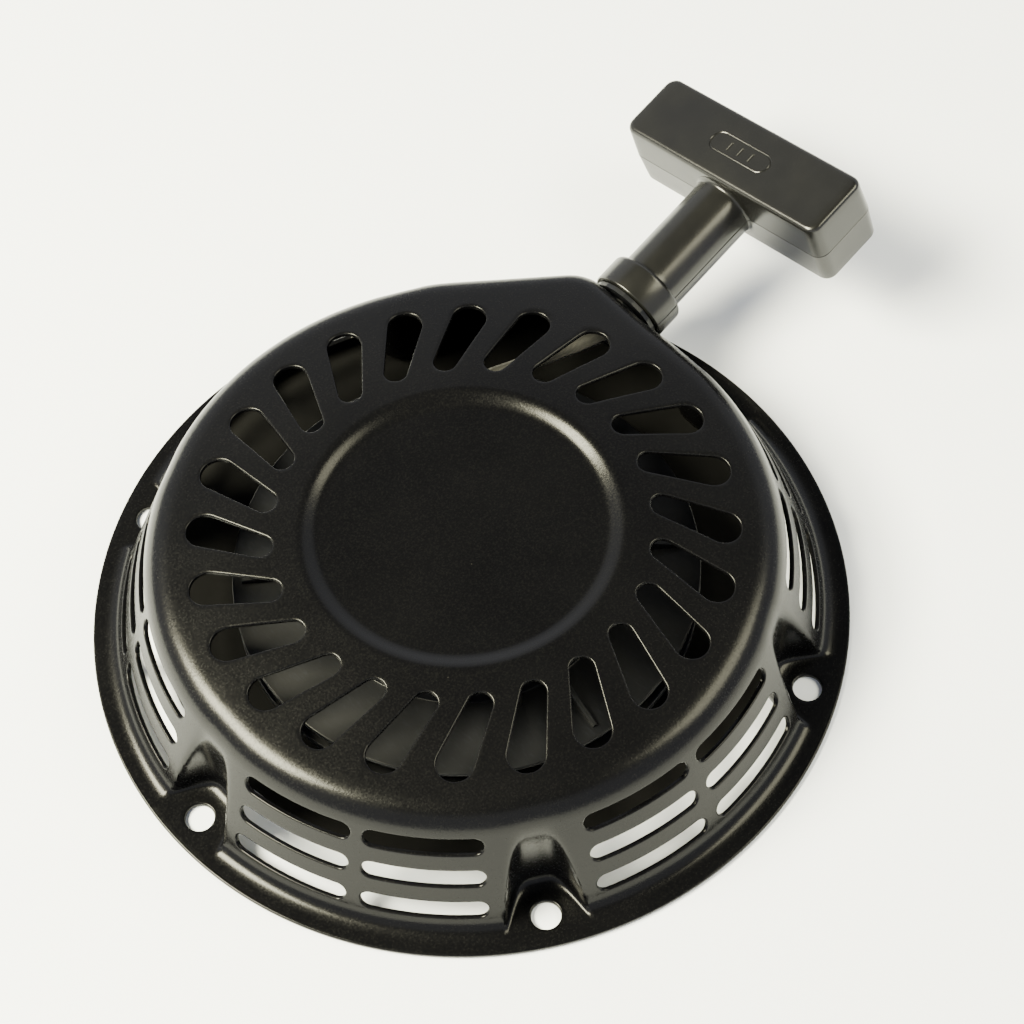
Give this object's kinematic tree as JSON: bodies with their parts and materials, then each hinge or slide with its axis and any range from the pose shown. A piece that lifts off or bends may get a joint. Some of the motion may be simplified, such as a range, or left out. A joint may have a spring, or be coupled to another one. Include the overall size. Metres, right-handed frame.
{
  "type": "recoil starter",
  "caption": "Pull-rope starter: vented round pressed steel housing with a bolting flange, a sprung rope reel with ratchet pawls inside, and a T-shaped pull handle at its side outlet.",
  "frame": {"origin": "on the crank axis, at the underside of the centre screw's head, which is level with the underside of the mounting flange", "axes": "+Z out of the housing's closed top, away from the engine; +X the horizontal direction in which the rope is pulled"},
  "size_m": [0.289, 0.2296, 0.0589],
  "materials": {
    "painted_steel": "satin black paint on pressed sheet",
    "black_pvc": "semi-gloss moulded",
    "black_nylon": "matt moulded",
    "zinc_steel": "zinc plated",
    "spring_steel": "oiled blue-grey",
    "bronze": "sintered",
    "rope": "braided"
  },
  "bodies": {
    "housing": {"starter_housing": "painted_steel", "centre_post": "zinc_steel", "spring_anchor": "zinc_steel", "recoil_spring": "spring_steel", "rope_guide": "black_nylon", "centre_screw": "zinc_steel", "lock_washer": "zinc_steel", "thrust_washer": "zinc_steel"},
    "handle": {"pull_handle": "black_pvc", "handle_end_cap": "black_pvc", "handle_knot": "rope", "knot_washer": "zinc_steel", "rope_lead": "rope"},
    "reel": {"rope_reel": "black_nylon", "reel_bushing": "bronze", "spring_retainer_plate": "zinc_steel", "retainer_screw_1": "zinc_steel", "retainer_screw_2": "zinc_steel", "retainer_screw_3": "zinc_steel", "rope_winding": "rope", "reel_knot": "rope", "pawl_pin_1": "zinc_steel", "pawl_pin_2": "zinc_steel", "pawl_spring_1": "spring_steel", "pawl_spring_2": "spring_steel"},
    "guide_plate": {"friction_plate": "zinc_steel", "friction_spring": "spring_steel"},
    "pawl_1": {"ratchet_pawl_1": "zinc_steel"},
    "pawl_2": {"ratchet_pawl_2": "zinc_steel"}
  },
  "joints": [
    {"name": "handle_pull", "type": "slide", "parent": "housing", "child": "handle", "axis": [0.9806, 0, 0.1959], "range_m": [0, 1], "stiffness_N_per_m": 20, "springref_m": -0.75, "deforming": ["rope_lead"]},
    {"name": "reel_spin", "type": "hinge", "parent": "housing", "child": "reel", "pos_m": [0, 0, 0], "axis": [0, 0, 1], "range_deg": [-1060, 0]},
    {"name": "plate_lag", "type": "hinge", "parent": "reel", "child": "guide_plate", "pos_m": [0, 0, 0], "axis": [0, 0, 1], "range_deg": [0, 20], "stiffness_Nm_per_rad": 0.05, "springref_deg": -17.19},
    {"name": "pawl_1_swing", "type": "hinge", "parent": "reel", "child": "pawl_1", "pos_m": [0, 0.03, 0.01], "axis": [0, 0, 1], "range_deg": [0, 25]},
    {"name": "pawl_2_swing", "type": "hinge", "parent": "reel", "child": "pawl_2", "pos_m": [0, -0.03, 0.01], "axis": [0, 0, 1], "range_deg": [0, 25]}
  ],
  "couplings": [
    {"joint": "reel_spin", "follows": "handle_pull", "rad_per_m": -18.3},
    {"joint": "pawl_1_swing", "follows": "plate_lag", "ratio": 1.25},
    {"joint": "pawl_2_swing", "follows": "plate_lag", "ratio": 1.25}
  ]
}
